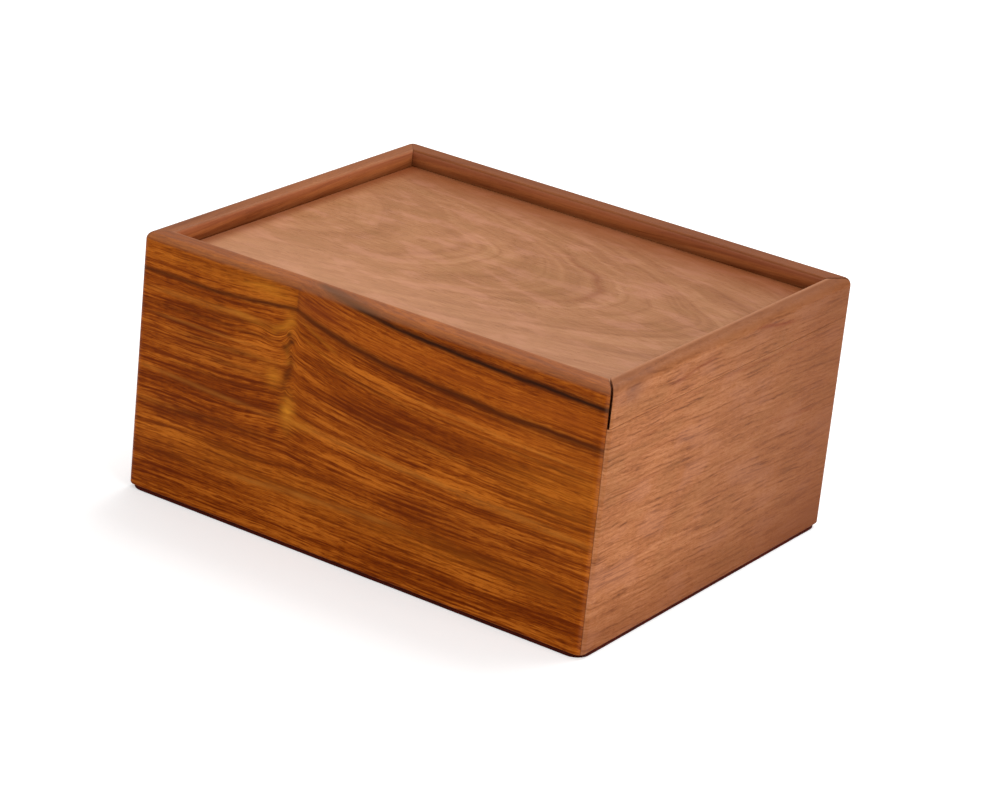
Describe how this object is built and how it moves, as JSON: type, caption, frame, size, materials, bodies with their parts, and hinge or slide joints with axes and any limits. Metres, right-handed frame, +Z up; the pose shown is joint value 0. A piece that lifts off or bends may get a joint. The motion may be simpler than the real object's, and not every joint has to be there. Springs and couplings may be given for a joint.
{
  "type": "chess box",
  "caption": "Hardwood storage box for chessmen with mitred corners, a lined interior with a divider, and a recessed lid that slides out at one end.",
  "frame": {"origin": "centre of the base, on the surface that the box stands on", "axes": "+X along the length towards the end where the lid slides out, -Y out of the long front face, +Z up"},
  "size_m": [0.21, 0.172, 0.104],
  "materials": {
    "wall_wood": "satin lacquer",
    "end_wood": "satin lacquer",
    "lid_wood": "satin lacquer",
    "pale_wood": "bare",
    "base_felt": "matt felt",
    "lining_felt": "matt felt"
  },
  "bodies": {
    "box": {"front_wall": "wall_wood", "back_wall": "wall_wood", "closed_end_wall": "end_wood", "opening_end_wall": "end_wood", "corner_splines": "pale_wood", "bottom_panel": "pale_wood", "base_felt": "base_felt", "centre_divider": "wall_wood", "floor_felt_left": "lining_felt", "floor_felt_right": "lining_felt", "side_felts_left": "lining_felt", "side_felts_right": "lining_felt"},
    "lid": {"lid_panel": "lid_wood", "lid_end_rail": "end_wood"}
  },
  "joints": [
    {"name": "lid_slide", "type": "slide", "parent": "box", "child": "lid", "axis": [1, 0, 0], "range_m": [0, 0.21]}
  ]
}
